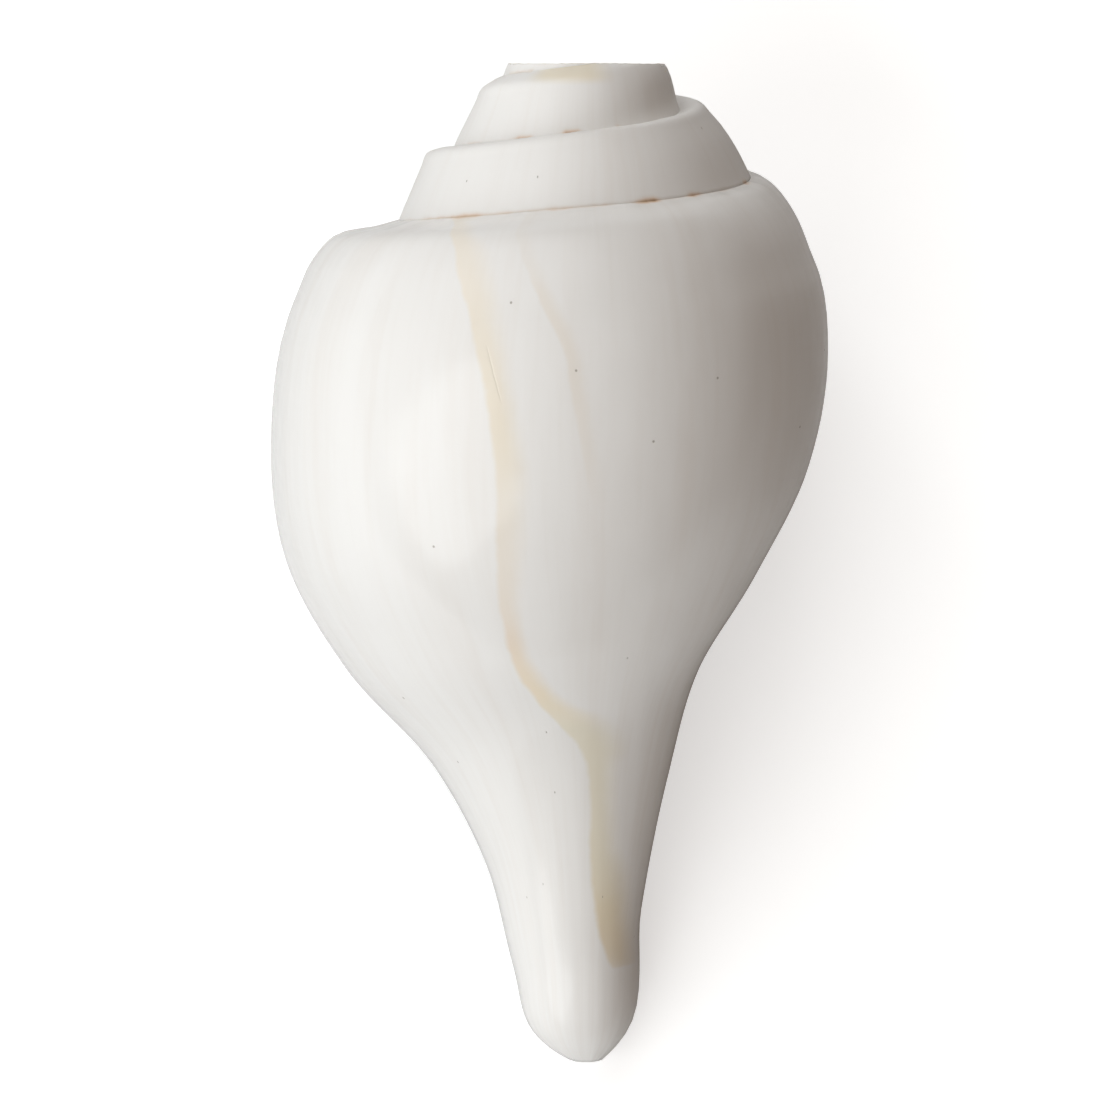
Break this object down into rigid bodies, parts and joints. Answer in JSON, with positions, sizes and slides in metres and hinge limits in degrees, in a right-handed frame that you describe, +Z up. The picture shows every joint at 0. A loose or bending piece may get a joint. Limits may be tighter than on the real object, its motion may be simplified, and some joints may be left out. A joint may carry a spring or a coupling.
{
  "type": "conch shell",
  "caption": "Polished white conch shell with its apex sawn flat for blowing: stepped spire, swollen body whorl, open aperture and long canal, lying on its aperture.",
  "frame": {"origin": "centre of the bounding box's base, on the surface that the shell rests on", "axes": "+Z up, out of the shell's back; +Y towards the sawn apex, the siphonal canal towards -Y; the outer lip is on the -X side"},
  "size_m": [0.0832, 0.149, 0.0724],
  "materials": {
    "shell": "polished calcium carbonate, white with faint cream growth streaks"
  },
  "bodies": {
    "root": {"shell": "shell"}
  },
  "joints": []
}
